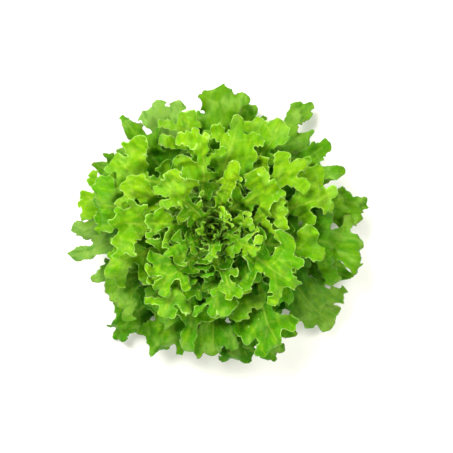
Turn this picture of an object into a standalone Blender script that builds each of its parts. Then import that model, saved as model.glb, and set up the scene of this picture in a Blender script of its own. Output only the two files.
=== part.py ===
"""A head of green oak-leaf lettuce, cut from its root and standing on the cut stem.

The leaves grow up a short domed stem, each a golden angle round from the one below. Every leaf lies
on its own bowl-shaped sheet of a nested family, so a leaf never touches the ones above and below it.
Lengths are in millimetres and become metres where points are made. +Z is up, and the origin is the
centre of the stem's cut face.
"""

import math

import bmesh
import bpy

METRE = 0.001

# Driving dimensions of the whole head
HEAD_RADIUS = 150.0
HEAD_HEIGHT = 150.0

# The stem: a stump below the lowest leaf, then a dome that the leaves grow from
STEM_RADIUS = 17.0
STEM_HEIGHT = 50.0
STUMP_HEIGHT = 9.0
TOP_LEAF_TURN = 80.0
CUT_EDGE_RADIUS = 1.5
STEM_SIDES = 24
STEM_RINGS = 7
STEM_CLEARANCE = 0.5

# A leaf's own sizes. The petiole and the rib are those of the lowest leaf, and get smaller with the
# dome's radius for the leaves above it.
BLADE_WIDTH = 60.0
BLADE_THICKNESS = 0.6
RIB_THICKNESS = 2.2
PETIOLE_WIDTH = 13.0
TOP_PETIOLE_SHARE = 0.3

# The growth rule: where the lowest leaf leaves the stem, and the turn to each next one
FIRST_BEARING = 92.0
GOLDEN_ANGLE = 137.508

# The nested sheets, at even steps from the lowest leaf's to the topmost leaf's: how far the sheet
# spreads as a share of HEAD_RADIUS, how high its rim is as a share of HEAD_HEIGHT, and its slope in
# degrees at the stem and at its rim
SHEET_SPREADS = (1.02, 0.99, 0.88, 0.72, 0.36)
RIM_HEIGHTS = (0.02, 0.24, 0.53, 0.79, 1.02)
STEM_SLOPES = (4.0, 40.0, 64.0, 78.0, 88.0)
RIM_SLOPES = (-30.0, -46.0, -46.0, -36.0, 14.0)
ROUNDNESS = 0.44
PROFILE_STEPS = 60

# The leaves in the order they grow up the stem: the bearing in degrees that the blade leans to, how
# far the tip reaches as a share of HEAD_RADIUS, and the blade's width as a share of BLADE_WIDTH
OUTER_LEAVES = (
    (78, 0.84, 0.85), (229, 0.91, 1.0), (341, 0.92, 0.9), (151, 0.89, 0.9),
    (283, 0.87, 1.0), (56, 0.98, 0.55), (202, 0.83, 0.7), (319, 1.0, 0.85),
    (114, 0.81, 1.0), (243, 0.8, 1.15), (10, 1.0, 0.75), (190, 0.88, 0.75),
    (295, 0.89, 0.85), (90, 0.88, 1.1), (216, 0.75, 1.15), (354, 0.93, 1.0),
    (129, 0.87, 0.75), (272, 0.76, 0.75), (40, 0.9, 0.7), (197, 0.61, 0.95),
)
MIDDLE_LEAVES = (
    (300, 0.84, 1.05), (107, 0.76, 1.0), (257, 0.78, 1.0), (20, 0.81, 1.15),
    (163, 0.84, 0.9), (289, 0.6, 1.0), (60, 0.78, 1.05), (203, 0.71, 0.9),
    (348, 0.71, 0.85), (140, 0.75, 1.0), (268, 0.55, 0.9), (37, 0.73, 1.0),
    (168, 0.75, 0.85), (303, 0.44, 0.85), (77, 0.71, 1.1), (236, 0.61, 0.9),
)
INNER_LEAVES = (
    (13, 0.49, 0.9), (156, 0.62, 0.85), (282, 0.46, 0.85), (37, 0.5, 0.85),
    (178, 0.62, 0.85), (327, 0.64, 1.15), (102, 0.62, 0.8), (222, 0.5, 0.8),
    (15, 0.27, 0.5), (176, 0.43, 0.7), (322, 0.2, 0.4), (71, 0.44, 0.45),
    (208, 0.34, 0.55), (340, 0.3, 0.5), (134, 0.44, 0.8),
)

# The heart: small upright leaves with no lean, each one shorter and narrower than the last
HEART_LEAVES = 8
HEART_LENGTH = 80.0
HEART_WIDTH = 24.0
HEART_SHRINK = 0.9

# The petiole's outline is (share of the leaf's length, share of the petiole's half width). The
# blade's adds how far its edge runs forward of the midrib, as a share of the half width there, and
# takes lobes and the bays between them in turn.
PETIOLE_OUTLINE = ((0.0, 1.0), (0.16, 0.8), (0.34, 0.75))
BLADE_OUTLINE = (
    (0.5, 0.6, 0.15), (0.56, 0.34, 0.0), (0.66, 0.95, 0.25), (0.74, 0.46, 0.05),
    (0.85, 1.0, 0.3), (0.91, 0.5, 0.1), (1.0, 0.3, -0.25),
)
COLUMNS = (-1.0, -0.5, 0.0, 0.5, 1.0)
LEAN_START = 0.12
LEAN_END = 0.85

SHARP_ANGLE = 40.0
STEM_COLOUR = (0.72, 0.78, 0.48, 1.0)
OUTER_COLOUR = (0.09, 0.26, 0.03, 1.0)
MIDDLE_COLOUR = (0.15, 0.39, 0.03, 1.0)
INNER_COLOUR = (0.21, 0.48, 0.03, 1.0)
HEART_COLOUR = (0.28, 0.5, 0.05, 1.0)


def clear_scene():
    for obj in list(bpy.data.objects):
        bpy.data.objects.remove(obj, do_unlink=True)


def make_material(name, colour, roughness):
    material = bpy.data.materials.new(name)
    material.use_nodes = True
    shader = material.node_tree.nodes["Principled BSDF"]
    shader.inputs["Base Color"].default_value = colour
    shader.inputs["Roughness"].default_value = roughness
    return material


def add_object(name, bm, material):
    """Turns the bmesh into a smooth-shaded object with one material, and frees it."""
    mesh = bpy.data.meshes.new(name)
    bm.to_mesh(mesh)
    bm.free()
    mesh.materials.append(material)
    mesh.shade_smooth()
    mesh.set_sharp_from_angle(angle=math.radians(SHARP_ANGLE))
    bpy.context.scene.collection.objects.link(bpy.data.objects.new(name, mesh))


def turned_point(radius, angle, height):
    """A point in metres at an angle in radians round the head's axis."""
    return radius * math.cos(angle) * METRE, radius * math.sin(angle) * METRE, height * METRE


def between(values, share):
    """A smooth curve through evenly spaced values, read at a share of its length."""
    last = len(values) - 1
    i = min(int(share * last), last - 1)
    f = share * last - i
    before = values[max(i - 1, 0)]
    here, there = values[i], values[i + 1]
    after = values[min(i + 2, last)]
    straight = 2 * here + (there - before) * f
    bend = (2 * before - 5 * here + 4 * there - after) * f**2
    return (straight + bend + (3 * here - 3 * there + after - before) * f**3) / 2


def eased(share):
    share = min(max(share, 0.0), 1.0)
    return share * share * (3 - 2 * share)


def dome_point(turn):
    """(radius, height) on the stem's dome, at an angle in degrees up from its widest ring."""
    angle = math.radians(turn)
    rise = STEM_HEIGHT - STUMP_HEIGHT
    return STEM_RADIUS * math.cos(angle), STUMP_HEIGHT + rise * math.sin(angle)


def make_stem(material):
    """The cut stem as one turned solid: a flat cut face, a stump and a dome."""
    profile = [
        (STEM_RADIUS - CUT_EDGE_RADIUS, 0.0),
        (STEM_RADIUS, CUT_EDGE_RADIUS),
        (STEM_RADIUS, STUMP_HEIGHT),
    ]
    profile += [dome_point(90 * ring / STEM_RINGS) for ring in range(1, STEM_RINGS)]
    bm = bmesh.new()
    angles = [2 * math.pi * side / STEM_SIDES for side in range(STEM_SIDES)]
    rings = [[bm.verts.new(turned_point(r, angle, z)) for angle in angles] for r, z in profile]
    top = bm.verts.new(turned_point(0.0, 0.0, STEM_HEIGHT))
    for i in range(STEM_SIDES):
        j = (i + 1) % STEM_SIDES
        for low, high in zip(rings, rings[1:]):
            bm.faces.new((low[i], low[j], high[j], high[i]))
        bm.faces.new((rings[-1][i], rings[-1][j], top))
    bm.faces.new(reversed(rings[0]))
    add_object("cut_stem", bm, material)


def curve_corners(share):
    """The four control points of a sheet's profile, from the stem to the rim."""
    stem_r, stem_z = dome_point(share * TOP_LEAF_TURN)
    start = math.radians(between(STEM_SLOPES, share))
    end = math.radians(between(RIM_SLOPES, share))
    foot = (stem_r + STEM_CLEARANCE, stem_z + STEM_CLEARANCE)
    rim = (HEAD_RADIUS * between(SHEET_SPREADS, share), HEAD_HEIGHT * between(RIM_HEIGHTS, share))
    pull = ROUNDNESS * math.dist(foot, rim)
    rising = (foot[0] + pull * math.cos(start), foot[1] + pull * math.sin(start))
    falling = (rim[0] - pull * math.cos(end), rim[1] - pull * math.sin(end))
    return foot, rising, falling, rim


def sheet_profile(share):
    """A sheet's profile as rows of (distance along it, radius, height)."""
    corners = curve_corners(share)
    rows = []
    distance = 0.0
    for step in range(PROFILE_STEPS + 1):
        t = step / PROFILE_STEPS
        weights = ((1 - t) ** 3, 3 * (1 - t) ** 2 * t, 3 * (1 - t) * t**2, t**3)
        r, z = (sum(w * corner[axis] for w, corner in zip(weights, corners)) for axis in (0, 1))
        if rows:
            distance += math.dist((r, z), rows[-1][1:])
        rows.append((distance, r, z))
    return rows


def at_distance(profile, distance):
    """(radius, height, slope in radians) a distance along the profile, or straight on past its rim."""
    i = 1
    while i < len(profile) - 1 and profile[i][0] < distance:
        i += 1
    before, after = profile[i - 1], profile[i]
    step, dr, dz = (b - a for a, b in zip(before, after))
    f = (distance - before[0]) / step
    return before[1] + dr * f, before[2] + dz * f, math.atan2(dz, dr)


def length_to_reach(profile, reach):
    """How long a leaf on this profile is when its tip lies this far from the axis."""
    for before, after in zip(profile, profile[1:]):
        if after[1] >= reach:
            f = (reach - before[1]) / (after[1] - before[1])
            return before[0] + (after[0] - before[0]) * f
    return profile[-1][0]


def leaf_outline(width, dome_share):
    """Rows of (share of the length, half width, how far the edge runs forward)."""
    petiole = PETIOLE_WIDTH / 2 * (TOP_PETIOLE_SHARE + (1 - TOP_PETIOLE_SHARE) * dome_share)
    rows = [(along, petiole * share, 0.0) for along, share in PETIOLE_OUTLINE]
    for along, share, forward in BLADE_OUTLINE:
        half = width / 2 * share
        rows.append((along, half, half * forward))
    return rows


def leaf_point(profile, distance, bearing, sideways, lift):
    """A point on the sheet, moved sideways round the axis and lifted off the sheet."""
    r, z, slope = at_distance(profile, distance)
    angle = math.radians(bearing) + sideways / r
    return turned_point(r - lift * math.sin(slope), angle, z + lift * math.cos(slope))


def close_plate(bm, upper, lower):
    """Faces for a plate whose upper and lower sides are grids of the same rows and columns."""
    across = range(len(COLUMNS) - 1)
    for i in across:
        for low, high in zip(upper, upper[1:]):
            bm.faces.new((low[i], high[i], high[i + 1], low[i + 1]))
        for low, high in zip(lower, lower[1:]):
            bm.faces.new((low[i + 1], high[i + 1], high[i], low[i]))
        bm.faces.new((upper[0][i], upper[0][i + 1], lower[0][i + 1], lower[0][i]))
        bm.faces.new((upper[-1][i + 1], upper[-1][i], lower[-1][i], lower[-1][i + 1]))
    for row in range(len(upper) - 1):
        bm.faces.new((upper[row + 1][0], upper[row][0], lower[row][0], lower[row + 1][0]))
        bm.faces.new((upper[row][-1], upper[row + 1][-1], lower[row + 1][-1], lower[row][-1]))
    bmesh.ops.recalc_face_normals(bm, faces=bm.faces)


def make_leaf(name, profile, foot_bearing, tip_bearing, length, width, material):
    """One leaf as a closed plate on its sheet, thicker under the midrib."""
    dome_share = profile[0][1] / (STEM_RADIUS + STEM_CLEARANCE)
    lean = (tip_bearing - foot_bearing + 180) % 360 - 180
    rib = (RIB_THICKNESS - BLADE_THICKNESS) * dome_share
    bm = bmesh.new()
    upper = []
    lower = []
    for along, half, forward in leaf_outline(width, dome_share):
        bearing = foot_bearing + lean * eased((along - LEAN_START) / (LEAN_END - LEAN_START))
        upper_row = []
        lower_row = []
        for column in COLUMNS:
            place = (profile, length * along + abs(column) * forward, bearing, column * half)
            ribbed = rib * (1 - along) ** 2 * (1 - abs(column))
            upper_row.append(bm.verts.new(leaf_point(*place, BLADE_THICKNESS / 2)))
            lower_row.append(bm.verts.new(leaf_point(*place, -BLADE_THICKNESS / 2 - ribbed)))
        upper.append(upper_row)
        lower.append(lower_row)
    close_plate(bm, upper, lower)
    add_object(name, bm, material)


def make_leaves():
    """All the leaves in the order they grow, from the outermost to the heart."""
    whorls = (
        ("outer_leaf", OUTER_LEAVES, OUTER_COLOUR),
        ("middle_leaf", MIDDLE_LEAVES, MIDDLE_COLOUR),
        ("inner_leaf", INNER_LEAVES, INNER_COLOUR),
    )
    last = sum(len(leaves) for _, leaves, _ in whorls) + HEART_LEAVES - 1
    order = 0
    for label, leaves, colour in whorls:
        material = make_material(label, colour, 0.45)
        for number, (bearing, reach, width) in enumerate(leaves, start=1):
            profile = sheet_profile(order / last)
            length = length_to_reach(profile, reach * HEAD_RADIUS)
            foot = FIRST_BEARING + order * GOLDEN_ANGLE
            name = f"{label}_{number:02d}"
            make_leaf(name, profile, foot, bearing, length, width * BLADE_WIDTH, material)
            order += 1
    material = make_material("heart_leaf", HEART_COLOUR, 0.45)
    for number in range(1, HEART_LEAVES + 1):
        profile = sheet_profile(order / last)
        shrink = HEART_SHRINK ** (number - 1)
        foot = FIRST_BEARING + order * GOLDEN_ANGLE
        name = f"heart_leaf_{number:02d}"
        make_leaf(name, profile, foot, foot, HEART_LENGTH * shrink, HEART_WIDTH * shrink, material)
        order += 1


clear_scene()
make_stem(make_material("cut_stem", STEM_COLOUR, 0.5))
make_leaves()
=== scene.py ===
import math

import bpy
import numpy as np
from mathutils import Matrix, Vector
from mathutils.bvhtree import BVHTree


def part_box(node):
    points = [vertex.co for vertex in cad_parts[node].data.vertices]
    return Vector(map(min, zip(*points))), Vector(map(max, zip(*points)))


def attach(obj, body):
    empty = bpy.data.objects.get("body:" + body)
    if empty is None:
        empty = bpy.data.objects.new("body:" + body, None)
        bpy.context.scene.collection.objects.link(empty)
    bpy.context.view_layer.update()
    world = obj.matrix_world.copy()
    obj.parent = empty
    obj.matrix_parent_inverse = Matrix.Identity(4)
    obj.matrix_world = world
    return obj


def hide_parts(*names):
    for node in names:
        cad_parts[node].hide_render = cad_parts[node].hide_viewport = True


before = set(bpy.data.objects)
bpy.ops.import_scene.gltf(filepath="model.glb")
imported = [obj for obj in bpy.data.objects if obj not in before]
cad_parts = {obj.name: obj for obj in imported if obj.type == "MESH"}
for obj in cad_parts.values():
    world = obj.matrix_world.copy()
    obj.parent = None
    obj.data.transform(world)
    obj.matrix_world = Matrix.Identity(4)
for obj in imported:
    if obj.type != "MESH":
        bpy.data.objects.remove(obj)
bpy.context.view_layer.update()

MM = 0.001

# ---------------------------------------------------------------------------------------------------
# The cut stem. The short, fleshy core that every leaf grows from, cut square with a knife below the
# lowest leaf. It grew with the head: a round stump, slightly fluted where the leaf bases run down it,
# with a domed top. The cut face is pale, wet flesh that has browned a little round its rim.

_, stem_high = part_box("cut_stem")
STEM_RADIUS = stem_high.x / MM
STEM_HEIGHT = stem_high.z / MM
STUMP_HEIGHT = 9.0
STEM_EDGE = 1.5
STEM_SIDES = 96
STEM_FLUTES = 13
FLUTE_DEPTH = 0.35
DOME_ROWS = 12
RING_RATE = 2600.0  # radians per metre of radius, so a ring every 2.4 mm


def node(tree, kind, inputs=None, **settings):
    """Adds a shader node, sets its options and values, and links any input given as a socket."""
    made = tree.nodes.new(kind)
    for key, value in settings.items():
        setattr(made, key, value)
    for key, value in (inputs or {}).items():
        if isinstance(value, bpy.types.NodeSocket):
            tree.links.new(value, made.inputs[key])
        else:
            made.inputs[key].default_value = value
    return made


def colour_mix(tree, share, first, second):
    """The colour that lies a share of the way from the first to the second."""
    made = tree.nodes.new("ShaderNodeMix")
    made.data_type = "RGBA"
    for socket, value in ((made.inputs[0], share), (made.inputs[6], first), (made.inputs[7], second)):
        if isinstance(value, bpy.types.NodeSocket):
            tree.links.new(value, socket)
        else:
            socket.default_value = value
    return made.outputs[2]


def spread(tree, value, low, high, out_low=0.0, out_high=1.0):
    """A value's place between low and high, eased at both ends."""
    made = node(tree, "ShaderNodeMapRange", interpolation_type="SMOOTHSTEP")
    for key, number in (("From Min", low), ("From Max", high), ("To Min", out_low), ("To Max", out_high)):
        made.inputs[key].default_value = number
    tree.links.new(value, made.inputs["Value"])
    return made.outputs["Result"]


def sums(tree, operation, first, second):
    """One step of arithmetic on two values."""
    made = node(tree, "ShaderNodeMath", operation=operation)
    for socket, value in zip(made.inputs, (first, second)):
        if isinstance(value, bpy.types.NodeSocket):
            tree.links.new(value, socket)
        else:
            socket.default_value = value
    return made.outputs[0]


def noise(tree, place, scale, detail, output="Fac"):
    """Cloudy noise, with its scale in cells to the metre."""
    inputs = {"Vector": place, "Scale": scale, "Detail": detail}
    return node(tree, "ShaderNodeTexNoise", inputs).outputs[output]


def new_material(name):
    """A new material, its node tree and its shader."""
    made = bpy.data.materials.new(name)
    made.use_nodes = True
    return made, made.node_tree, made.node_tree.nodes["Principled BSDF"]


def stem_material():
    """Cream-green flesh with faint rings, browned where the knife's cut meets the skin."""
    made, tree, shader = new_material("stem_flesh")
    place = node(tree, "ShaderNodeTexCoord").outputs["Object"]
    split = node(tree, "ShaderNodeSeparateXYZ", {"Vector": place})
    flat = node(tree, "ShaderNodeCombineXYZ", {"X": split.outputs["X"], "Y": split.outputs["Y"]})
    radius = node(tree, "ShaderNodeVectorMath", {0: flat.outputs[0]}, operation="LENGTH").outputs["Value"]
    grain = noise(tree, place, 420.0, 4.0)
    blotch = noise(tree, place, 90.0, 3.0)
    wobble = sums(tree, "MULTIPLY", blotch, 0.004)
    uneven_radius = sums(tree, "ADD", radius, wobble)
    rings = sums(tree, "SINE", sums(tree, "MULTIPLY", uneven_radius, RING_RATE), 0.0)
    flesh = colour_mix(tree, spread(tree, radius, 0.003, 0.016), (0.82, 0.86, 0.60, 1), (0.66, 0.76, 0.36, 1))
    flesh = colour_mix(tree, spread(tree, rings, -1.0, 1.0, 0.0, 0.16), flesh, (0.56, 0.68, 0.30, 1))
    skin = colour_mix(tree, blotch, (0.52, 0.66, 0.26, 1), (0.74, 0.82, 0.50, 1))
    low = spread(tree, split.outputs["Z"], 0.0002, 0.0016)
    body = colour_mix(tree, low, flesh, skin)
    near_rim = spread(tree, uneven_radius, 0.0150, 0.0175)
    near_cut = spread(tree, split.outputs["Z"], 0.0035, 0.0006)
    brown = sums(tree, "MULTIPLY", sums(tree, "MULTIPLY", near_rim, near_cut), 0.75)
    colour = colour_mix(tree, brown, body, (0.36, 0.20, 0.07, 1))
    tree.links.new(colour, shader.inputs["Base Color"])
    tree.links.new(spread(tree, grain, 0.3, 0.7, 0.34, 0.55), shader.inputs["Roughness"])
    bump = node(tree, "ShaderNodeBump", {"Height": grain, "Strength": 0.35, "Distance": 0.0004})
    tree.links.new(bump.outputs["Normal"], shader.inputs["Normal"])
    return made


def fluted_stem():
    """The stem as a closed turned body whose side is lightly fluted above the cut."""
    rows = [(STEM_RADIUS * share, 0.0) for share in (0.2, 0.4, 0.6, 0.8)]
    rows += [(STEM_RADIUS - STEM_EDGE, 0.0), (STEM_RADIUS - 0.45, 0.35), (STEM_RADIUS - 0.05, STEM_EDGE)]
    rows += [(STEM_RADIUS, STUMP_HEIGHT * share) for share in (0.35, 0.6, 0.8, 1.0)]
    rise = STEM_HEIGHT - STUMP_HEIGHT
    for step in range(1, DOME_ROWS):
        turn = math.pi / 2 * step / DOME_ROWS
        rows.append((STEM_RADIUS * math.cos(turn), STUMP_HEIGHT + rise * math.sin(turn)))
    points = []
    for r, z in rows:
        deep = FLUTE_DEPTH * min(z / STUMP_HEIGHT, 1.0)
        for side in range(STEM_SIDES):
            angle = 2 * math.pi * side / STEM_SIDES
            out = (r - deep * (1 - math.cos(STEM_FLUTES * angle)) / 2) * MM
            points.append((out * math.cos(angle), out * math.sin(angle), z * MM))
    faces = []
    for row in range(len(rows) - 1):
        for side in range(STEM_SIDES):
            a = row * STEM_SIDES + side
            b = row * STEM_SIDES + (side + 1) % STEM_SIDES
            faces.append((a, b, b + STEM_SIDES, a + STEM_SIDES))
    foot, top = len(points), len(points) + 1
    points += [(0.0, 0.0, 0.0), (0.0, 0.0, STEM_HEIGHT * MM)]
    last = (len(rows) - 1) * STEM_SIDES
    for side in range(STEM_SIDES):
        after = (side + 1) % STEM_SIDES
        faces.append((foot, after, side))
        faces.append((last + side, last + after, top))
    mesh = bpy.data.meshes.new("fluted_stem")
    mesh.from_pydata(points, [], faces)
    mesh.shade_smooth()
    mesh.set_sharp_from_angle(angle=math.radians(50))
    return bpy.data.objects.new("fluted_stem", mesh)


stem = fluted_stem()
bpy.context.scene.collection.objects.link(stem)
stem.data.materials.append(stem_material())
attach(stem, "root")
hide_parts("cut_stem")

# ---------------------------------------------------------------------------------------------------
# The outer leaves. The oldest ones, long and spreading, each grown in one piece from a pale, fleshy
# petiole into a thin green blade with rounded finger lobes. They grow from the stem's foot upward, a
# golden angle apart, and arch out to the ground. They are duller and a darker green than the rest.

HEAD_RADIUS = 150.0
HEAD_HEIGHT = 150.0
BLADE_WIDTH = 60.0
PETIOLE_WIDTH = 13.0
FIRST_BEARING = 92.0
GOLDEN_ANGLE = 137.508
LEAF_COUNT = 59
STEM_GAP = 0.5
TOP_LEAF_TURN = 80.0
LEAN_START = 0.12
LEAN_END = 0.85
ROUNDNESS = 0.44
PROFILE_POINTS = 161
FINGER_RADIUS = 5.6
FINGER_SPACING = 20.0
LOWEST_LOBE = 0.18  # share of the length
WING_SHARE = 0.04  # of the width, that the blade keeps beside the midrib
FILLET_SHARE = 0.022  # of the width
ROUND_ENDS = (0.65, 0.85, 1.0, 1.2)
POINTED_ENDS = (0.3, 0.45, 0.7, 1.0)
FIRST_SEED = 1000
SEED_STEP = 17
HOLE_ROUNDS = 3
HOLE_OVERLAP = 1.2
FACING_TONE = 0.22
CHANCE_TONE = 0.18
WAVES_SUMMED = 9
SNAP_SHARE = 0.38  # of the mesh step
LEAST_STEEPNESS = 0.25

# Lobes from the tip down: share of the half width reached, angle to the midrib in degrees
LOBE_PLAN = (
    (0.68, 44), (1.0, 50), (1.0, 58), (0.8, 66), (0.62, 70), (0.5, 72), (0.42, 74), (0.36, 76),
)

# Patterns on the skin, in cells to the metre
CLOUD_SCALE = 45.0
SHEEN_NOISE_SCALE = 75.0
NET_BEND_SCALE = 160.0
MOTTLE_SCALE = 230.0
NET_SCALE = 330.0
SPECK_SCALE = 600.0
MOTTLE_STRETCH = (0.40, 1.0, 1.0)
NET_BEND = (0.0022, 0.0022, 0.0)

# Colours that all the leaves share
# Painted sheen: a pale green laid in patches over the blades, most on the outer leaves
SHEEN_GREEN = (0.34, 0.54, 0.095, 1)
PALE_GREEN = (0.36, 0.54, 0.15, 1)
# Painted shade: a dark green laid over the lower half of each blade, where the leaves above shade it
SHADE_GREEN = (0.006, 0.145, 0.0005, 1)
RUST = (0.130, 0.120, 0.030, 1)

# Waves of the margin in mm: length and height. Folding a wave at a level leaves small points
MARGIN_WAVE = (13.0, 0.55)
MARGIN_TEETH = ((11.0, 1.0), (5.5, 0.35))
TOOTH_LEVEL = 0.6

# The nested sheets that the leaves lie on, from the lowest leaf's to the topmost one's
SHEET_SPREADS = (1.02, 0.99, 0.88, 0.72, 0.36)
RIM_HEIGHTS = (0.02, 0.24, 0.53, 0.79, 1.02)
STEM_SLOPES = (4.0, 40.0, 64.0, 78.0, 88.0)
RIM_SLOPES = (-30.0, -46.0, -46.0, -36.0, 14.0)

# Bearing that the blade leans to, reach as a share of HEAD_RADIUS, width as a share of BLADE_WIDTH
OUTER_LEAVES = (
    (78, 0.84, 0.85), (227, 0.96, 1.0), (341, 0.92, 0.9), (151, 0.89, 0.9),
    (283, 0.84, 1.0), (54, 1.045, 0.75), (202, 0.83, 0.7), (322, 1.01, 0.9),
    (114, 0.85, 1.0), (244, 0.87, 1.15), (10, 1.0, 0.75), (190, 0.88, 0.75),
    (295, 0.89, 0.85), (86, 0.865, 1.0), (216, 0.75, 1.15), (354, 0.93, 1.0),
    (129, 0.90, 0.75), (270, 0.78, 0.95), (37, 0.9, 0.7), (197, 0.61, 0.95),
)


def between(values, share):
    """A smooth curve through evenly spaced values, read at a share of its length."""
    last = len(values) - 1
    i = min(int(share * last), last - 1)
    f = share * last - i
    before = values[max(i - 1, 0)]
    here, there = values[i], values[i + 1]
    after = values[min(i + 2, last)]
    straight = 2 * here + (there - before) * f
    bend = (2 * before - 5 * here + 4 * there - after) * f**2
    return (straight + bend + (3 * here - 3 * there + after - before) * f**3) / 2


def eased(share):
    """A share from 0 to 1, eased at both ends."""
    share = np.clip(share, 0.0, 1.0)
    return share * share * (3 - 2 * share)


def sheet_profile(share):
    """A sheet's profile from the stem to its rim: columns of distance, radius and height in mm."""
    turn = math.radians(share * TOP_LEAF_TURN)
    rise = (STEM_HEIGHT - STUMP_HEIGHT) * math.sin(turn)
    foot = np.array((STEM_RADIUS * math.cos(turn) + STEM_GAP, STUMP_HEIGHT + rise + STEM_GAP))
    rim_radius = HEAD_RADIUS * between(SHEET_SPREADS, share)
    rim = np.array((rim_radius, HEAD_HEIGHT * between(RIM_HEIGHTS, share)))
    start = math.radians(between(STEM_SLOPES, share))
    end = math.radians(between(RIM_SLOPES, share))
    pull = ROUNDNESS * np.linalg.norm(rim - foot)
    rising = foot + pull * np.array((math.cos(start), math.sin(start)))
    falling = rim - pull * np.array((math.cos(end), math.sin(end)))
    t = np.linspace(0, 1, PROFILE_POINTS)[:, None]
    start_half = (1 - t) ** 3 * foot + 3 * (1 - t) ** 2 * t * rising
    curve = start_half + 3 * (1 - t) * t**2 * falling + t**3 * rim
    steps = np.linalg.norm(np.diff(curve, axis=0), axis=1)
    return np.concatenate(([0.0], np.cumsum(steps))), curve[:, 0], curve[:, 1]


def on_sheet(leaf, along, sideways):
    """Points on a leaf's sheet and the directions off it, in mm, for places along and across it."""
    distance, radius, height = leaf["profile"]
    r = np.interp(along, distance, radius)
    z = np.interp(along, distance, height)
    slopes = np.arctan2(np.gradient(height), np.gradient(radius))
    slope = np.interp(along, distance, slopes)
    lean = leaf["lean"] * eased((along / leaf["length"] - LEAN_START) / (LEAN_END - LEAN_START))
    angle = np.radians(leaf["foot"] + lean) + sideways / r
    out = np.stack((np.cos(angle), np.sin(angle), np.zeros_like(angle)), 1)
    points = out * r[:, None]
    points[:, 2] = z
    off = -out * np.sin(slope)[:, None]
    off[:, 2] = np.cos(slope)
    return points, off


def leaf_fingers(leaf, own):
    """The leaf as rounded fingers (x0, y0, r0, x1, y1, r1): the midrib's strip, then the lobes."""
    rng = np.random.default_rng(leaf["seed"])
    length, half = leaf["length"], leaf["width"] / 2
    foot = leaf["petiole"] / 2
    scale = (leaf["width"] / BLADE_WIDTH) ** 0.75
    finger = FINGER_RADIUS * scale
    gap = FINGER_SPACING * scale
    tip = finger * rng.uniform(0.8, 1.15)
    sway = half * rng.uniform(-0.3, 0.3)
    breadths = (finger * 0.8, finger * 0.95, tip)
    if own:
        breadths, placed = own
        tip = breadths[2]
        sway = 0.0
    wing = foot + WING_SHARE * leaf["width"] * leaf["fullness"]
    # Up the midrib: share of the length, sideways, half width
    spine = (
        (0.0, 0.0, foot), (0.1, 0.0, foot), (0.25, 0.0, wing), (0.50, 0.0, wing),
        (0.66, sway * 0.6, breadths[0]), (0.84, sway, breadths[1]), (1 - tip / length, sway * 0.6, tip),
    )
    strip = [
        (x0 * length, y0, r0, x1 * length, y1, r1)
        for (x0, y0, r0), (x1, y1, r1) in zip(spine, spine[1:])
    ]
    if own:
        lobes = [(length - x0, y0, r0, length - x1, y1, r1) for x0, y0, r0, x1, y1, r1 in placed]
        place = min(lobe[0] for lobe in lobes) - gap
        while place > LOWEST_LOBE * length:
            for side in (1, -1):
                x0 = place + rng.uniform(-4, 4)
                y1 = side * half * rng.uniform(0.5, 0.8)
                lobes.append((x0, 0.0, foot * 0.8, x0 + 4, y1, finger * 0.8))
            place -= gap * 0.8
        return strip, lobes
    lobes = []
    for side in (1, -1):
        place = length - tip - gap * rng.uniform(0.45, 0.9)
        for out, turn in LOBE_PLAN:
            if place < LOWEST_LOBE * length:
                break
            out *= rng.uniform(0.85, 1.2)
            if place < 0.6 * length:
                out *= leaf["fullness"] ** 0.5
            turn = math.radians(turn + rng.uniform(-14, 12))
            r0 = finger * rng.uniform(0.6, 0.85)
            r1 = finger * rng.choice(leaf["ends"]) * rng.uniform(0.9, 1.1)
            reach = max(half * out - r1, r1) / math.sin(turn)
            x1 = min(place + reach * math.cos(turn), length - r1)
            y1 = side * reach * math.sin(turn)
            lobes.append((place, sway * 0.4, r0, x1, y1, r1))
            for way in (-1, 1):
                if reach > 2.2 * r1 and rng.random() < leaf["branching"]:
                    # A small lobe that branches off the main one
                    share = rng.uniform(0.45, 0.75)
                    bend = turn + way * math.radians(rng.uniform(45, 70))
                    r2 = finger * rng.uniform(0.45, 0.7)
                    size = r1 + r2 * rng.uniform(0.8, 1.8)
                    x0 = place + (x1 - place) * share
                    y0 = y1 * share
                    x2 = min(x0 + size * math.cos(bend), length - r2)
                    lobes.append((x0, y0, r2, x2, y0 + side * size * math.sin(bend), r2))
            place -= gap * rng.uniform(0.85, 1.2)
    return strip, lobes


def finger_distance(fingers, points):
    """How far each point is outside each rounded finger, and how far along the finger it lies."""
    away = []
    shares = []
    for x0, y0, r0, x1, y1, r1 in fingers:
        start = np.array((x0, y0))
        line = np.array((x1 - x0, y1 - y0))
        share = np.clip((points - start) @ line / (line @ line), 0, 1)
        gap = points - start - share[:, None] * line
        away.append(np.hypot(gap[:, 0], gap[:, 1]) - (r0 + (r1 - r0) * share))
        shares.append(share)
    return np.array(away), np.array(shares)


def waves(rng, points, length):
    """Smooth random waves about one unit high, of roughly the given length."""
    total = np.zeros(len(points))
    for _ in range(WAVES_SUMMED):
        turn = rng.uniform(0, 2 * math.pi)
        pitch = 2 * math.pi / (length * rng.uniform(0.75, 1.4))
        direction = pitch * np.array((math.cos(turn), math.sin(turn)))
        total += np.sin(points @ direction + rng.uniform(0, 2 * math.pi))
    return total / math.sqrt(WAVES_SUMMED / 2)


def outside(leaf, points):
    """Signed distance in mm from the leaf's margin, below zero inside, with the bays filleted."""
    away, _ = finger_distance(leaf["fingers"], points)
    fillet = leaf["fillet"]
    base = -fillet * np.log(np.exp(-away / fillet).sum(0))
    rng = np.random.default_rng(leaf["seed"] + 1)
    length, height = MARGIN_WAVE
    wavy = waves(rng, points, length) * height
    teeth = sum(
        (np.abs(waves(rng, points, length)) - TOOTH_LEVEL) * height for length, height in MARGIN_TEETH
    )
    return base + (wavy + teeth) * leaf["jag"] * eased((points[:, 0] / leaf["length"] - 0.1) * 6)


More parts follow.
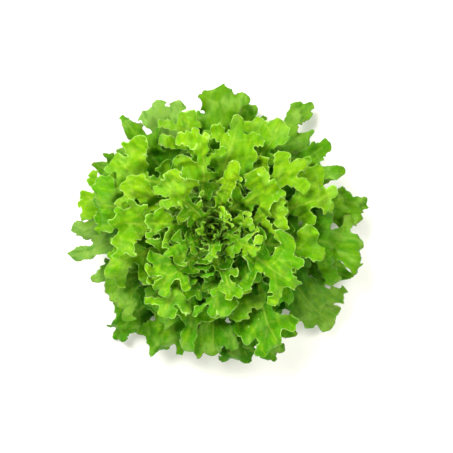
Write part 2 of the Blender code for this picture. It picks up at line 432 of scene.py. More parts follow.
def cut_leaf(leaf, step):
    """A mesh of even triangles over the leaf's outline: (points in mm, triangles)."""
    # The lattice reaches past the widest lobes
    half = leaf["width"] * 0.75
    columns = int((leaf["length"] + 4 * step) / step) + 1
    rows = int(2 * half / (step * math.sqrt(0.75))) + 2
    j, i = np.mgrid[0:rows, 0:columns]
    x = (i + 0.5 * (j % 2)) * step - step
    y = j * step * math.sqrt(0.75) - half
    grid = np.stack((x, y), -1).reshape(-1, 2)
    away = outside(leaf, grid)
    # The foot is cut square where the petiole meets the stem
    away = np.maximum(away, -grid[:, 0])
    nudge = 0.02
    slope = np.stack([
        (np.maximum(outside(leaf, grid + move), -(grid + move)[:, 0]) - away) / nudge
        for move in (np.array((nudge, 0)), np.array((0, nudge)))
    ], 1)
    # Lattice points close to the margin move onto it
    near = np.abs(away) < SNAP_SHARE * step
    steep = np.maximum((slope**2).sum(1), LEAST_STEEPNESS)
    grid[near] -= (away / steep)[near, None] * slope[near]
    away[near] = 0.0
    triangles = []
    for odd in (0, 1):
        rows_here = np.arange(odd, rows - 1, 2)
        a = (rows_here[:, None] * columns + np.arange(columns - 1)).reshape(-1)
        up = a + columns
        if odd:
            triangles += [np.stack(t, 1) for t in ((a, a + 1, up + 1), (a, up + 1, up))]
        else:
            triangles += [np.stack(t, 1) for t in ((a, a + 1, up), (a + 1, up + 1, up))]
    triangles = np.concatenate(triangles)
    signs = np.sign(away)[triangles]
    inside = signs.max(1) <= 0
    flat = inside & (signs.min(1) == 0)
    centres = grid[triangles[flat]].mean(1)
    keep = inside.copy()
    keep[flat] = np.maximum(outside(leaf, centres), -centres[:, 0]) < 0
    kept = [triangles[keep]]
    made = {}
    extra = []

    def crossing(a, b):
        """The point where the margin crosses an edge, made once for both triangles beside it."""
        key = (min(a, b), max(a, b))
        if key not in made:
            made[key] = len(grid) + len(extra)
            share = away[a] / (away[a] - away[b])
            extra.append(grid[a] + (grid[b] - grid[a]) * share)
        return made[key]

    for triangle in triangles[(signs.min(1) < 0) & (signs.max(1) > 0)]:
        corners = []
        for a, b in zip(triangle, np.roll(triangle, -1)):
            if away[a] <= 0:
                corners.append(a)
            if away[a] * away[b] < 0:
                corners.append(crossing(a, b))
        for n in range(1, len(corners) - 1):
            kept.append(np.array([[corners[0], corners[n], corners[n + 1]]]))
    points = np.concatenate((grid, np.array(extra).reshape(-1, 2)))
    kept = np.concatenate(kept)
    used, kept = np.unique(kept, return_inverse=True)
    return points[used], kept.reshape(-1, 3)


def rim_edges(triangles):
    """The directed edges that only one triangle has."""
    sides = np.concatenate((triangles[:, [0, 1]], triangles[:, [1, 2]], triangles[:, [2, 0]]))
    _, first, times = np.unique(np.sort(sides, axis=1), axis=0, return_index=True, return_counts=True)
    return sides[first[times == 1]]


def holes_in(flat, triangles):
    """A round finger over each hole inside the outline, to close it."""
    onward = {}
    for a, b in rim_edges(triangles).tolist():
        onward.setdefault(a, []).append(b)
    loops = []
    while onward:
        start = next(iter(onward))
        loop, here = [], start
        while here in onward:
            there = onward[here].pop()
            if not onward[here]:
                del onward[here]
            loop.append(here)
            here = there
        loops.append(flat[loop])
    loops.sort(key=lambda loop: np.ptp(loop[:, 0]))
    fills = []
    for loop in loops[:-1]:
        centre = (loop.max(0) + loop.min(0)) / 2
        size = np.hypot(*(loop - centre).T).max() + HOLE_OVERLAP
        fills.append((centre[0], centre[1], size, centre[0] + 0.1, centre[1], size))
    return fills


# Every leaf, in the order in which they grow
head = []


def lay_leaf(name, slot, material, reach, width, bearing=None, length=None, step=1.6, jag=1.15,
             branching=0.3, ends=ROUND_ENDS, pale=0.0, curl=0.0, fullness=1.0, own=None):
    """Grows the next leaf up the stem: its sheet, its outline, and its flat mesh on the sheet."""
    order = len(head)
    share = order / (LEAF_COUNT - 1)
    distance, radius, height = sheet_profile(share)
    if length is None:
        widest = radius.argmax() + 1
        length = float(np.interp(reach * HEAD_RADIUS, radius[:widest], distance[:widest]))
    foot = FIRST_BEARING + order * GOLDEN_ANGLE
    leaf = {
        "name": name,
        "slot": slot,
        "material": material,
        "profile": (distance, radius, height),
        "length": length,
        "width": width,
        "petiole": PETIOLE_WIDTH * (0.3 + 0.7 * radius[0] / STEM_RADIUS),
        "foot": foot,
        "lean": 0.0 if bearing is None else (bearing - foot + 180) % 360 - 180,
        "seed": FIRST_SEED + SEED_STEP * order,
        "fillet": FILLET_SHARE * width,
        "jag": jag * (width / BLADE_WIDTH) ** 0.5,
        "branching": branching,
        "ends": ends,
        "pale": pale,
        "curl": curl,
        "fullness": fullness,
    }
    # Leaves that lean towards +y are a little lighter in tone and those that lean towards -y a little duller
    facing = math.radians(leaf["foot"] + leaf["lean"])
    chance = np.random.default_rng(leaf["seed"] + 3).uniform(-CHANCE_TONE, CHANCE_TONE)
    leaf["tone"] = 0.5 + FACING_TONE * math.sin(facing) + chance
    leaf["strip"], leaf["lobes"] = leaf_fingers(leaf, own)
    leaf["fingers"] = leaf["strip"] + leaf["lobes"]
    for _ in range(HOLE_ROUNDS):
        leaf["flat"], leaf["triangles"] = cut_leaf(leaf, step)
        holes = holes_in(leaf["flat"], leaf["triangles"])
        if not holes:
            break
        leaf["fingers"] = leaf["fingers"] + holes
    leaf["laid"], leaf["off"] = on_sheet(leaf, leaf["flat"][:, 0], leaf["flat"][:, 1])
    head.append(leaf)


def leaf_material(name, blade_dark, blade_light, petiole, vein, margin, under, gloss, painted_sheen, rust=0.0):
    """A leaf's skin: mottled green, paler veins, a pale petiole and a duller underside, with painted light
    laid on: painted shade towards the blade's foot, patches of painted sheen, and a pale line of painted rim
    light along the margin.
    """
    made, tree, shader = new_material(name)
    place = node(tree, "ShaderNodeAttribute", attribute_name="leaf_place").outputs["Vector"]

    def read(attribute):
        return node(tree, "ShaderNodeAttribute", attribute_name=attribute).outputs["Fac"]

    fresh = (1.55 * blade_light[0], 1.30 * blade_light[1], blade_light[2], 1)
    edge, veins, along, upper, tone, pale = map(read, ("edge", "veins", "along", "upper", "tone", "pale"))

    def vector_sums(operation, first, second):
        return node(tree, "ShaderNodeVectorMath", {0: first, 1: second}, operation=operation).outputs[0]

    cloud = noise(tree, place, CLOUD_SCALE, 3.0)
    sheen_noise = noise(tree, place, SHEEN_NOISE_SCALE, 4.0)
    speck = noise(tree, place, SPECK_SCALE, 4.0)
    mottle = noise(tree, vector_sums("MULTIPLY", place, MOTTLE_STRETCH), MOTTLE_SCALE, 5.0)
    bends = vector_sums("MULTIPLY", noise(tree, place, NET_BEND_SCALE, 2.0, "Color"), NET_BEND)
    bent_place = vector_sums("ADD", place, bends)
    cells = node(
        tree, "ShaderNodeTexVoronoi", {"Vector": bent_place, "Scale": NET_SCALE}, feature="DISTANCE_TO_EDGE"
    )
    net = spread(tree, cells.outputs["Distance"], 0.10, 0.0)
    patch = sums(tree, "ADD", sums(tree, "MULTIPLY", cloud, 1.1), sums(tree, "ADD", tone, -0.55))
    blade = colour_mix(tree, spread(tree, patch, 0.0, 1.0), blade_dark, blade_light)
    # Painted sheen: pale green patches towards the blade's tip, strongest on the outer leaves
    patchy = spread(tree, sheen_noise, 0.46, 0.66, 0.0, painted_sheen)
    sheen_share = sums(tree, "MULTIPLY", patchy, spread(tree, along, 0.5, 0.9))
    blade = colour_mix(tree, sheen_share, blade, SHEEN_GREEN)
    blade = colour_mix(tree, pale, blade, PALE_GREEN)
    # Painted shade: the blade darkens from the middle of its length towards its foot, where the leaves above
    # shade it
    deep = spread(tree, along, 0.45, 0.90, 0.66, 0.0)
    blade = colour_mix(tree, deep, blade, SHADE_GREEN)
    blade = colour_mix(tree, spread(tree, mottle, 0.50, 0.72, 0.0, 0.60), blade, blade_dark)
    blade = colour_mix(tree, spread(tree, mottle, 0.52, 0.28, 0.0, 0.45), blade, fresh)
    blade = colour_mix(tree, sums(tree, "MULTIPLY", net, 0.10), blade, vein)
    blade = colour_mix(tree, spread(tree, speck, 0.35, 0.75, 0.0, 0.15), blade, blade_dark)
    # Painted rim light: a pale line along the margin, on the upper side only, standing in for light shining
    # through the thin edge
    rim = sums(tree, "MULTIPLY", spread(tree, edge, 0.85, 0.15), spread(tree, cloud, 0.35, 0.60, 0.25, 0.75))
    rim = sums(tree, "MULTIPLY", rim, spread(tree, upper, 0.5, 1.0, 0.15, 1.0))
    blade = colour_mix(tree, rim, blade, margin)
    blade = colour_mix(tree, sums(tree, "MULTIPLY", veins, 0.6), blade, vein)
    stalk = spread(tree, along, 0.42, 0.14)
    body = colour_mix(tree, stalk, blade, petiole)
    rusty = sums(tree, "MULTIPLY", spread(tree, edge, 1.6, 0.1), spread(tree, cloud, 0.45, 0.65, 0.0, rust))
    body = colour_mix(tree, rusty, body, RUST)
    under_body = colour_mix(tree, 0.55, body, under)
    colour = colour_mix(tree, upper, under_body, body)
    tree.links.new(colour, shader.inputs["Base Color"])
    rough = sums(tree, "ADD", spread(tree, speck, 0.3, 0.7, 0.0, 0.12), sums(tree, "MULTIPLY", cloud, 0.14))
    tree.links.new(sums(tree, "ADD", rough, gloss), shader.inputs["Roughness"])
    relief = sums(tree, "ADD", sums(tree, "MULTIPLY", net, -0.45), sums(tree, "MULTIPLY", speck, 0.20))
    relief = sums(tree, "ADD", relief, sums(tree, "MULTIPLY", mottle, 1.6))
    bump = node(tree, "ShaderNodeBump", {"Height": relief, "Strength": 0.8, "Distance": 0.00075})
    tree.links.new(bump.outputs["Normal"], shader.inputs["Normal"])
    shader.inputs["Subsurface Weight"].default_value = 0.5
    shader.inputs["Subsurface Radius"].default_value = (0.5, 1.0, 0.1)
    shader.inputs["Subsurface Scale"].default_value = 0.0010
    shader.inputs["IOR"].default_value = 1.42
    shader.inputs["Specular IOR Level"].default_value = 0.075
    return made


outer_skin = leaf_material(
    "outer_leaf_skin",
    blade_dark=(0.032, 0.185, 0.001, 1),
    blade_light=(0.122, 0.300, 0.002, 1),
    petiole=(0.44, 0.58, 0.20, 1),
    vein=(0.27, 0.42, 0.045, 1),
    margin=(0.24, 0.40, 0.10, 1),
    under=(0.19, 0.38, 0.05, 1),
    gloss=0.36,
    painted_sheen=0.42,
    rust=0.6,
)

# Outer leaves with an outline of their own, by number. First the half widths of the midrib's strip at
# 0.66 and 0.84 of the length and at the tip, then the lobes. Each lobe runs from (mm short of the tip,
# sideways, radius) to (mm short of the tip, sideways, radius). Sideways is counter-clockwise about the
# stem where it is above zero.
OUTER_OWN = {
    2: ((13, 10, 2.4), (
        (40, 2, 8, 28, 18, 5), (42, -2, 8, 30, -20, 6), (60, 2, 8, 52, 28, 7),
        (58, -2, 8, 50, -28, 7), (26, 0, 6, 13, 9, 3), (24, 0, 6, 12, -9, 3),
    )),
    3: ((17, 13, 4), (
        (42, 3, 8, 24, 13, 7), (64, -3, 9, 50, -18, 9), (60, 3, 7, 44, 25, 7),
        (52, 4, 6, 24, 20, 6.5), (62, -3, 7, 50, -26, 6), (46, -3, 6, 26, -17, 5.5),
        (80, 3, 7, 72, 29, 7), (80, -3, 7, 72, -29, 7),
    )),
    4: ((12, 10, 2.2), (
        (34, -3, 7, 15, -13, 4.5), (44, -3, 8, 26, -25, 6), (58, 3, 6, 42, 27, 3),
        (42, 3, 6, 20, 17, 2.4), (56, -3, 6, 38, -26, 3.2), (38, -3, 6, 18, -15, 2.2),
        (80, 3, 6, 72, 22, 4), (80, -3, 6, 70, -22, 5),
    )),
    6: ((15, 6, 9.4), (
        (52, -8, 9, 37, -20, 7.5), (42, -10, 6, 26, -21, 2.8), (62, -6, 9, 54, -33, 8),
        (56, 6, 8, 50, 17, 6), (78, 0, 10, 74, -36, 10), (78, 0, 10, 74, 26, 9),
        (34, 0, 6, 9, -1, 11),
    )),
    7: ((11, 8, 3.5), (
        (34, 3, 7, 14, 14, 6), (48, 2, 6, 34, 20, 4.5), (60, -2, 6, 50, -20, 6),
        (72, 2, 6, 68, 22, 5), (30, 0, 4, 22, -11, 3),
    )),
    8: ((19, 13, 2.2), (
        (84, 4, 8, 66, 19, 8), (24, 0, 8, 6, -8, 5), (24, 0, 8, 3, 2, 4), (42, -3, 8, 21, -15, 6),
        (30, 4, 8, 13, 12, 3.5), (46, 6, 9, 20, 26, 7), (52, -3, 9, 38, -19, 7),
        (70, 3, 5, 64, 26, 6), (66, -3, 7, 56, -32, 7), (86, 3, 6, 82, 27, 7),
        (84, -3, 7, 78, -33, 8),
    )),
    9: ((16, 14, 9), (
        (24, 3, 8, 9, 16, 6), (26, -3, 8, 8, -17, 7), (46, 3, 8, 34, 29, 8),
        (46, -3, 8, 32, -29, 8), (66, 3, 8, 60, 30, 8), (66, -3, 8, 58, -30, 8),
    )),
    10: ((15, 14, 3), (
        (38, 2, 8, 18, 22, 6), (38, -2, 8, 14, -20, 5), (56, 2, 8, 46, 30, 8),
        (56, -2, 8, 44, -30, 8), (22, 0, 6, 8, 9, 3.5), (24, 0, 6, 10, -10, 3.5),
    )),
    11: ((15, 11, 6.5), (
        (78, 3, 6, 38, 30, 6.5), (46, -3, 6, 34, -19, 4), (62, -3, 6, 54, -24, 5),
        (38, 2, 7, 25, 15, 6), (34, -2, 7, 21, -14, 6),
    )),
    12: ((9, 6, 6.5), (
        (60, -3, 8, 26, -26, 6), (52, 2, 4.5, 44, 17, 4.5), (40, -2, 5, 14, -23, 6.5),
        (62, -2, 5, 40, -30, 5), (80, 2, 5, 76, 18, 5),
    )),
    13: ((12, 9, 3), (
        (38, 2, 8, 20, 26, 7), (54, 2, 8, 46, 26, 7), (22, 0, 6, 9, 11, 4), (40, -2, 7, 22, -17, 5),
        (56, -2, 7, 44, -26, 6), (22, 0, 5, 10, -9, 3),
    )),
    14: ((16, 15, 10), (
        (44, 4, 8, 28, 20, 7), (20, 3, 8, 12, 17, 5.5), (24, -3, 8, 10, -20, 6.5),
        (50, 3, 8, 36, 30, 7), (50, -3, 8, 34, -31, 7), (76, 3, 8, 66, 28, 7),
        (76, -3, 8, 66, -28, 7),
    )),
    16: ((15, 14, 9), (
        (26, 3, 7, 14, 22, 7), (30, -3, 7, 12, -20, 6.5), (54, 3, 7, 40, 30, 7),
        (50, -3, 7, 30, -34, 7), (76, 3, 7, 70, 28, 6), (74, -3, 7, 66, -30, 6),
    )),
    17: ((12, 8, 2.4), (
        (50, 2, 6, 38, 24, 5.5), (46, -2, 6, 34, -19, 4), (66, 2, 7, 58, 30, 7),
        (26, 0, 4, 20, -10, 2.2), (66, -2, 6, 58, -22, 6), (84, 2, 7, 80, 28, 8),
    )),
    18: ((12, 12, 7), (
        (34, 3, 8, 14, 19, 6), (36, -3, 8, 9, -14, 6), (54, 3, 8, 40, 28, 7),
        (54, -3, 8, 42, -28, 7),
    )),
    19: ((8, 9.5, 7.5), (
        (46, -4, 6, 16, -29, 6), (60, 3, 6, 48, 22, 5), (70, -3, 6, 62, -24, 5),
    )),
}
OUTER_STRETCH = 1.03  # of the reach in the table
# Leaves with pointed lobes, and how far other blades have paled, by number
OUTER_POINTED = (5,)
OUTER_PALE = {6: 0.12, 7: 0.25, 8: 0.15, 9: 0.42, 12: 0.42, 15: 0.06}
for number, (bearing, reach, width) in enumerate(OUTER_LEAVES, start=1):
    lay_leaf(
        f"outer_leaf_{number:02d}", "outer_leaf", outer_skin, reach * OUTER_STRETCH, width * BLADE_WIDTH,
        bearing, jag=1.1, ends=POINTED_ENDS if number in OUTER_POINTED else ROUND_ENDS,
        pale=OUTER_PALE.get(number, 0.0), fullness=2.8, own=OUTER_OWN.get(number),
    )

# ---------------------------------------------------------------------------------------------------
# The middle leaves. They arch over the outer ones and carry most of what shows: fresh green blades
# that end in ruffled finger lobes. Each grows in one piece from the stem's side.

# Columns as for the outer leaves
MIDDLE_LEAVES = (
    (300, 0.84, 1.05), (107, 0.76, 1.0), (257, 0.78, 1.0), (20, 0.81, 1.15),
    (163, 0.84, 0.9), (289, 0.6, 1.0), (60, 0.78, 1.05), (203, 0.71, 0.9),
    (348, 0.71, 0.85), (140, 0.75, 1.0), (268, 0.55, 0.9), (37, 0.73, 1.0),
    (168, 0.75, 0.85), (303, 0.44, 0.85), (77, 0.71, 1.1), (236, 0.61, 0.9),
)
middle_skin = leaf_material(
    "middle_leaf_skin",
    blade_dark=(0.055, 0.258, 0.001, 1),
    blade_light=(0.190, 0.395, 0.003, 1),
    petiole=(0.42, 0.58, 0.16, 1),
    vein=(0.34, 0.51, 0.05, 1),
    margin=(0.44, 0.66, 0.17, 1),
    under=(0.22, 0.44, 0.05, 1),
    gloss=0.32,
    painted_sheen=0.28,
)
# Set out as for the outer leaves
MIDDLE_OWN = {
    1: ((8, 8, 7), (
        (26, 3, 7, 15, 20, 7), (48, 3, 7, 36, 28, 7), (22, -3, 6, 8, -17, 6),
        (46, -3, 7, 31, -28, 7.5), (70, 3, 6, 62, 28, 6), (70, -3, 6, 62, -26, 6),
        (30, -10, 5, 22, -24, 4),
    )),
    3: ((9, 6.5, 7.5), (
        (36, 2, 7, 40, 22, 7.5), (36, -2, 7, 41, -21, 7), (62, 2, 7, 62, 26, 6),
        (62, -2, 7, 60, -25, 7),
    )),
    6: ((9, 9, 8), (
        (16, 2, 8, 12, 19, 8), (16, -2, 8, 13, -18, 7.5), (44, 2, 7, 34, 24, 6),
        (46, -2, 7, 36, -24, 6.5),
    )),
    9: ((7, 7.5, 8.5), (
        (24, 2, 7, 17, 15, 8.5), (40, -2, 6, 26, -20, 6), (56, 2, 6, 44, 24, 6),
        (62, -2, 6, 52, -22, 6),
    )),
    12: ((7, 7, 6.5), (
        (32, 3, 6, 15, 17, 6), (52, 3, 6, 38, 26, 6), (27, -3, 6, 16, -19, 6.5),
        (50, -3, 6, 46, -27, 7), (40, 12, 4, 30, 25, 4.5),
    )),
    15: ((7, 7, 7), (
        (28, 3, 6, 15, 18, 6.5), (46, 3, 6, 39, 28, 7), (22, -3, 6, 14, -22, 7),
        (42, -3, 6, 46, -27, 7.5), (36, -12, 4, 28, -24, 4.5),
    )),
}
for number, (bearing, reach, width) in enumerate(MIDDLE_LEAVES, start=1):
    lay_leaf(
        f"middle_leaf_{number:02d}", "middle_leaf", middle_skin, reach, width * BLADE_WIDTH, bearing,
        fullness=0.5, own=MIDDLE_OWN.get(number),
    )

# ---------------------------------------------------------------------------------------------------
# The inner leaves. Younger and steeper, a bright yellow-green, they rise round the heart and roll
# outward over the middle ones.

# Columns as for the outer leaves
INNER_LEAVES = (
    (13, 0.49, 0.9), (156, 0.62, 0.85), (282, 0.46, 0.85), (37, 0.5, 0.85),
    (178, 0.62, 0.85), (327, 0.64, 1.15), (102, 0.62, 0.8), (222, 0.5, 0.8),
    (15, 0.27, 0.5), (176, 0.43, 0.7), (322, 0.2, 0.4), (71, 0.44, 0.45),
    (208, 0.34, 0.55), (340, 0.3, 0.5), (134, 0.44, 0.8),
)
inner_skin = leaf_material(
    "inner_leaf_skin",
    blade_dark=(0.070, 0.288, 0.001, 1),
    blade_light=(0.228, 0.436, 0.003, 1),
    petiole=(0.30, 0.48, 0.08, 1),
    vein=(0.38, 0.55, 0.055, 1),
    margin=(0.50, 0.72, 0.20, 1),
    under=(0.25, 0.48, 0.05, 1),
    gloss=0.30,
    painted_sheen=0.20,
)
# Set out as for the outer leaves
INNER_OWN = {
    6: ((7, 7, 6), (
        (32, 3, 7, 28, 29, 8.5), (28, -2, 6, 10, -24, 6), (50, -3, 6, 40, -28, 6.5),
        (54, 3, 6, 52, 24, 5), (30, 10, 5, 12, 19, 5),
    )),
    12: ((6, 6.2, 6.5), (
        (15, 0, 5, 15, -8, 3), (26, 0, 5, 27, 8, 2.6), (36, 0, 4, 36, -8, 2.8),
    )),
}
for number, (bearing, reach, width) in enumerate(INNER_LEAVES, start=1):
    lay_leaf(
        f"inner_leaf_{number:02d}", "inner_leaf", inner_skin, reach, width * BLADE_WIDTH, bearing,
        fullness=0.6, own=INNER_OWN.get(number),
    )

# ---------------------------------------------------------------------------------------------------
# The heart. Small upright leaves that are still growing, crinkled, each shorter than the last.

HEART_LEAVES = 8
HEART_LENGTH = 80.0
HEART_WIDTH = 24.0
HEART_SHRINK = 0.9
HEART_CURL = 12.0
heart_skin = leaf_material(
    "heart_leaf_skin",
    blade_dark=(0.085, 0.310, 0.001, 1),
    blade_light=(0.265, 0.530, 0.005, 1),
    petiole=(0.24, 0.42, 0.05, 1),
    vein=(0.40, 0.58, 0.10, 1),
    margin=(0.52, 0.74, 0.21, 1),
    under=(0.26, 0.48, 0.05, 1),
    gloss=0.32,
    painted_sheen=0.10,
)
for number in range(1, HEART_LEAVES + 1):
    shrink = HEART_SHRINK ** (number - 1)
    lay_leaf(
        f"heart_leaf_{number:02d}", "heart_leaf", heart_skin, None, HEART_WIDTH * shrink,
        length=HEART_LENGTH * shrink, step=0.9, branching=0.0, curl=HEART_CURL * number / HEART_LEAVES,
    )

# ---------------------------------------------------------------------------------------------------
# The ruffles. With every leaf in place, each blade bends, cups and ruffles in the room that its
# neighbours leave it, and gets its thickness: thin at the margin, thick along the midrib and veins.

ROOM_SHARE = 0.45
MOST_ROOM = 16.0
RAY_START = 0.05
ROOM_NARROWINGS = 3
ROOM_SMOOTHINGS = 24
GROUND_REACH = 400
BLADE_THICKNESS = 0.45
RIB_THICKNESS = 2.0
VEIN_THICKNESS = 0.25
VEIN_GROOVE = 0.12
PATTERN_STEP = 0.31

# Breadth of the midrib at its foot and of a lobe's vein: mm, and a share of the blade's width
MIDRIB_BREADTH = (0.35, 0.030)
VEIN_BREADTH = (0.30, 0.009)
VEIN_STRENGTH = 0.75
VEIN_FADE = 0.75

# The blade's own bends as shares of its width: from the least to the most, or either way
CUP = (-0.05, 0.12)
TILT = (-0.12, 0.12)
TIP_RISE = (-0.08, 0.18)
LOBE_BEND = 0.22
LOBE_TWIST = 0.06
PETIOLE_TROUGH = 0.10  # of the petiole's width

# Waves of a blade as shares of its width: height and length
BROAD_WAVES = (0.050, 0.60)
RUFFLES = (0.040, 0.30)
CREASES = (0.026, 0.40)
WRINKLES = (0.0095, 0.14)
WRINKLE_STRETCH = (0.55, 1.0)


def neighbours_tree():
    """All the laid leaves and the ground as one search tree, and the leaf that each face is of."""
    ground = [(GROUND_REACH * x, GROUND_REACH * y, 0) for x, y in ((-1, -1), (1, -1), (1, 1), (-1, 1))]
    points = [np.array(ground, float)]
    faces = [np.array(((0, 1, 2), (0, 2, 3)))]
    owner = [np.array((-1, -1))]
    count = len(ground)
    for index, leaf in enumerate(head):
        points.append(leaf["laid"])
        faces.append(leaf["triangles"] + count)
        owner.append(np.full(len(leaf["triangles"]), index))
        count += len(leaf["laid"])
    tree = BVHTree.FromPolygons(np.concatenate(points).tolist(), np.concatenate(faces).tolist())
    return tree, np.concatenate(owner)


def edges_of(triangles):
    """Each edge of the mesh once."""
    ends = np.concatenate((triangles[:, [0, 1]], triangles[:, [1, 2]], triangles[:, [2, 0]]))
    return np.unique(np.sort(ends, axis=1), axis=0)


def room(leaf, index, tree, owner, way):
    """How far each point may move off the sheet, up or down: its share of the gap to the next leaf."""
    found = np.full(len(leaf["laid"]), MOST_ROOM / ROOM_SHARE)
    for n, (point, off) in enumerate(zip(leaf["laid"], leaf["off"] * way)):
        start = point + off * RAY_START
        _, _, face, distance = tree.ray_cast(start.tolist(), off.tolist(), MOST_ROOM / ROOM_SHARE)
        if face is not None and owner[face] != index:
            found[n] = distance
    found *= ROOM_SHARE
    a, b = edges_of(leaf["triangles"]).T
    for _ in range(ROOM_NARROWINGS):
        low = found.copy()
        np.minimum.at(low, a, found[b])
        np.minimum.at(low, b, found[a])
        found = low
    degree = np.bincount(np.concatenate((a, b)), minlength=len(found))
    for _ in range(ROOM_SMOOTHINGS):
        total = np.bincount(a, found[b], len(found)) + np.bincount(b, found[a], len(found))
        found = 0.4 * found + 0.6 * total / np.maximum(degree, 1)
    return found


def vein_strength(leaf, flat):
    """How near each point is to the midrib or a side vein, from 0 to 1."""
    length, width = leaf["length"], leaf["width"]
    away, shares = finger_distance(leaf["strip"], flat)
    start, end = np.array([(finger[2], finger[5]) for finger in leaf["strip"]]).T
    # From the midrib's own line, not from the strip's side
    bare = away + start[:, None] + (end - start)[:, None] * shares
    least, more = MIDRIB_BREADTH
    breadth = least + more * width * (1 - np.minimum(flat[:, 0] / length, 1)) ** 1.2
    total = np.exp(-((bare.min(0) / breadth) ** 2))
    away, shares = finger_distance(leaf["lobes"], flat)
    least, more = VEIN_BREADTH
    for n, finger in enumerate(leaf["lobes"]):
        line = away[n] + finger[2] + (finger[5] - finger[2]) * shares[n]
        thin = least + more * width * (1 - shares[n])
        vein = VEIN_STRENGTH * np.exp(-((line / thin) ** 2)) * (1 - VEIN_FADE * shares[n])
        total = np.maximum(total, vein)
    return total


def ruffle(leaf, flat, edge):
    """How far the blade stands off its sheet, in mm, before its neighbours limit it."""
    rng = np.random.default_rng(leaf["seed"] + 2)
    length, width = leaf["length"], leaf["width"]
    along = flat[:, 0] / length
    blade = eased((along - 0.08) / 0.35)
    across = flat[:, 1] / (width / 2)
    stand = (rng.uniform(*CUP) * across**2 + rng.uniform(*TILT) * across) * width * blade
    stand += (1 - blade) * PETIOLE_TROUGH * leaf["petiole"] * (flat[:, 1] / (leaf["petiole"] / 2)) ** 2
    away, shares = finger_distance(leaf["lobes"], flat)
    nearness = np.exp(-np.clip(away, 0, 30) / (0.05 * width))
    nearness /= nearness.sum(0) + 0.6
    for n, (x0, y0, _, x1, y1, r1) in enumerate(leaf["lobes"]):
        line = np.array((x1 - x0, y1 - y0)) / math.hypot(x1 - x0, y1 - y0)
        beside = (flat - (x0, y0)) @ np.array((-line[1], line[0])) / r1
        bend = rng.uniform(-1, 1)
        bend = math.copysign(abs(bend) ** 0.6, bend) * LOBE_BEND * width
        twist = rng.uniform(-LOBE_TWIST, LOBE_TWIST) * width
        stand += nearness[n] * shares[n] ** 1.3 * (bend + twist * np.clip(beside, -1.5, 1.5))
    stand += rng.uniform(*TIP_RISE) * width * eased((along - 0.6) / 0.4)
    stand += leaf["curl"] * eased((along - 0.4) / 0.6)
    margin = np.exp(-edge / (0.08 * width))
    height, wave = BROAD_WAVES
    stand += height * width * waves(rng, flat, wave * width) * blade
    height, wave = RUFFLES
    stand += height * width * waves(rng, flat, wave * width) * (0.25 + 0.75 * margin) * blade
    height, wave = CREASES
    creases = np.abs(waves(rng, flat, wave * width))
    stand += height * width * (0.8 - creases) * blade
    height, wave = WRINKLES
    stand += height * width * waves(rng, flat * WRINKLE_STRETCH, wave * width) * blade
    return stand


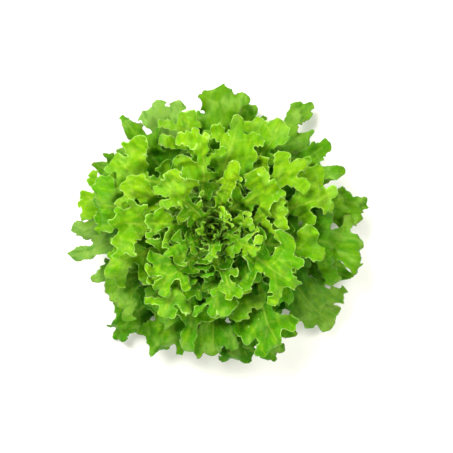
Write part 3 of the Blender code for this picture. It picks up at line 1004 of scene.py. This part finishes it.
def grow(leaf, index, tree, owner):
    """Turns a laid leaf into its finished object."""
    flat, triangles = leaf["flat"], leaf["triangles"]
    edge = np.maximum(-outside(leaf, flat), 0.0)
    veins = vein_strength(leaf, flat)
    stand = ruffle(leaf, flat, edge)
    up, down = (room(leaf, index, tree, owner, way) for way in (1, -1))
    limit = np.where(stand > 0, up, down)
    stand = limit * np.tanh(stand / np.maximum(limit, 0.05))
    middle = leaf["laid"] + leaf["off"] * stand[:, None]

    corners = middle[triangles]
    turned = np.cross(corners[:, 1] - corners[:, 0], corners[:, 2] - corners[:, 0])
    normals = np.zeros_like(middle)
    for corner in range(3):
        np.add.at(normals, triangles[:, corner], turned)
    normals /= np.linalg.norm(normals, axis=1)[:, None]

    along = np.minimum(flat[:, 0] / leaf["length"], 1.0)
    rib = RIB_THICKNESS * (leaf["petiole"] / PETIOLE_WIDTH) * (1 - along) ** 1.5
    # Just over half as thick at the margin itself, and full 2.5 mm in from it
    half = BLADE_THICKNESS / 2 * (0.55 + 0.45 * np.minimum(edge / 2.5, 1.0))
    upper = middle + normals * (half - VEIN_GROOVE * veins)[:, None]
    lower = middle - normals * (half + veins * (VEIN_THICKNESS + rib))[:, None]

    count = len(flat)
    rim = rim_edges(triangles)
    strip = np.concatenate((
        np.stack((rim[:, 1], rim[:, 0], rim[:, 0] + count), 1),
        np.stack((rim[:, 1], rim[:, 0] + count, rim[:, 1] + count), 1),
    ))
    faces = np.concatenate((triangles, triangles[:, ::-1] + count, strip))
    points = np.concatenate((upper, lower)) * MM

    name = "grown_" + leaf["name"]
    mesh = bpy.data.meshes.new(name)
    mesh.vertices.add(len(points))
    mesh.vertices.foreach_set("co", points.astype(np.float32).reshape(-1))
    mesh.loops.add(faces.size)
    mesh.loops.foreach_set("vertex_index", faces.astype(np.int32).reshape(-1))
    mesh.polygons.add(len(faces))
    mesh.polygons.foreach_set("loop_start", np.arange(0, faces.size, 3, dtype=np.int32))
    mesh.update(calc_edges=True)
    mesh.validate()
    values = {
        "edge": np.tile(edge, 2),
        "veins": np.tile(veins, 2),
        "along": np.tile(along, 2),
        "upper": np.repeat((1.0, 0.0), count),
        "pale": np.full(2 * count, leaf["pale"]),
        "tone": np.full(2 * count, leaf["tone"]),
    }
    for key, numbers in values.items():
        made = mesh.attributes.new(key, "FLOAT", "POINT")
        made.data.foreach_set("value", numbers.astype(np.float32))
    place = np.zeros((2 * count, 3), np.float32)
    place[:, :2] = np.tile(flat, (2, 1)) * MM
    place[:, 2] = index * PATTERN_STEP
    made = mesh.attributes.new("leaf_place", "FLOAT_VECTOR", "POINT")
    made.data.foreach_set("vector", place.reshape(-1))
    # One island for each side, and the thin rim folded onto the upper side's edge
    spot = np.stack((0.02 + 0.96 * along, 0.25 + 0.30 * flat[:, 1] / leaf["width"]), 1)
    loop_points = faces.reshape(-1)
    upper_faces = np.zeros(len(triangles))
    under_faces = np.ones(len(triangles))
    side = np.repeat(np.concatenate((upper_faces, under_faces, np.zeros(len(strip)))), 3)
    layer = mesh.uv_layers.new(name="OFBake")
    where = spot[loop_points % count] + np.stack((np.zeros(len(side)), 0.5 * side), 1)
    layer.data.foreach_set("uv", where.astype(np.float32).reshape(-1))
    mesh.shade_smooth()
    mesh.materials.append(leaf["material"])
    grown = bpy.data.objects.new(name, mesh)
    bpy.context.scene.collection.objects.link(grown)
    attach(grown, "root")
    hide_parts(leaf["name"])


tree, owner = neighbours_tree()
for index, leaf in enumerate(head):
    grow(leaf, index, tree, owner)

# ---------------------------------------------------------------------------------------------------
# The stage: a plain, almost white floor under soft studio light, seen from straight above.

FLOOR_REACH = 6
LAMP_AIM = (0, 0, 0.05)
LAMP_COLOUR = (1.0, 0.99, 0.91)
CAMERA_HEIGHT = 1.5
SUBJECT_HEIGHT = 0.075
FRAME_WIDTH = 0.426
SENSOR_WIDTH = 36.0

floor = bpy.data.objects.new("floor", bpy.data.meshes.new("floor"))
floor_corners = [(FLOOR_REACH * x, FLOOR_REACH * y, 0) for x, y in ((-1, -1), (1, -1), (1, 1), (-1, 1))]
floor.data.from_pydata(floor_corners, [], [(0, 1, 2, 3)])
bpy.context.scene.collection.objects.link(floor)
paper, paper_tree, paper_shader = new_material("floor_paper")
fibres = node(paper_tree, "ShaderNodeTexNoise", {"Scale": 60.0, "Detail": 4.0}).outputs["Fac"]
mottling = spread(paper_tree, fibres, 0.3, 0.7)
paper_colour = colour_mix(paper_tree, mottling, (0.93, 0.93, 0.93, 1), (0.96, 0.96, 0.96, 1))
paper_tree.links.new(paper_colour, paper_shader.inputs["Base Color"])
paper_shader.inputs["Roughness"].default_value = 0.9
paper_shader.inputs["Specular IOR Level"].default_value = 0.1
floor.data.materials.append(paper)

for name, place, size, power in (
    ("key_softbox", (-0.55, 0.70, 1.30), 0.8, 32.0),
    ("right_softbox", (0.95, 0.25, 1.25), 0.7, 12.5),
    ("front_softbox", (-0.10, -1.00, 1.25), 0.7, 12.5),
):
    light = bpy.data.lights.new(name, "AREA")
    light.shape = "DISK"
    light.size = size
    light.energy = power
    light.color = LAMP_COLOUR
    lamp = bpy.data.objects.new(name, light)
    lamp.location = place
    lamp.rotation_mode = "QUATERNION"
    direction = np.array(LAMP_AIM) - np.array(place)
    lamp.rotation_quaternion = Vector(direction).to_track_quat("-Z", "Y")
    bpy.context.scene.collection.objects.link(lamp)

world = bpy.data.worlds.new("studio")
world.use_nodes = True
world.node_tree.nodes["Background"].inputs["Color"].default_value = (1.0, 1.0, 0.88, 1)
world.node_tree.nodes["Background"].inputs["Strength"].default_value = 0.25
bpy.context.scene.world = world

camera = bpy.data.objects.new("camera", bpy.data.cameras.new("camera"))
camera.location = (0.0127, 0.0033, CAMERA_HEIGHT)
camera.data.sensor_width = SENSOR_WIDTH
camera.data.lens = SENSOR_WIDTH * (CAMERA_HEIGHT - SUBJECT_HEIGHT) / FRAME_WIDTH
bpy.context.scene.collection.objects.link(camera)
bpy.context.scene.camera = camera
bpy.context.scene.view_settings.view_transform = "Standard"
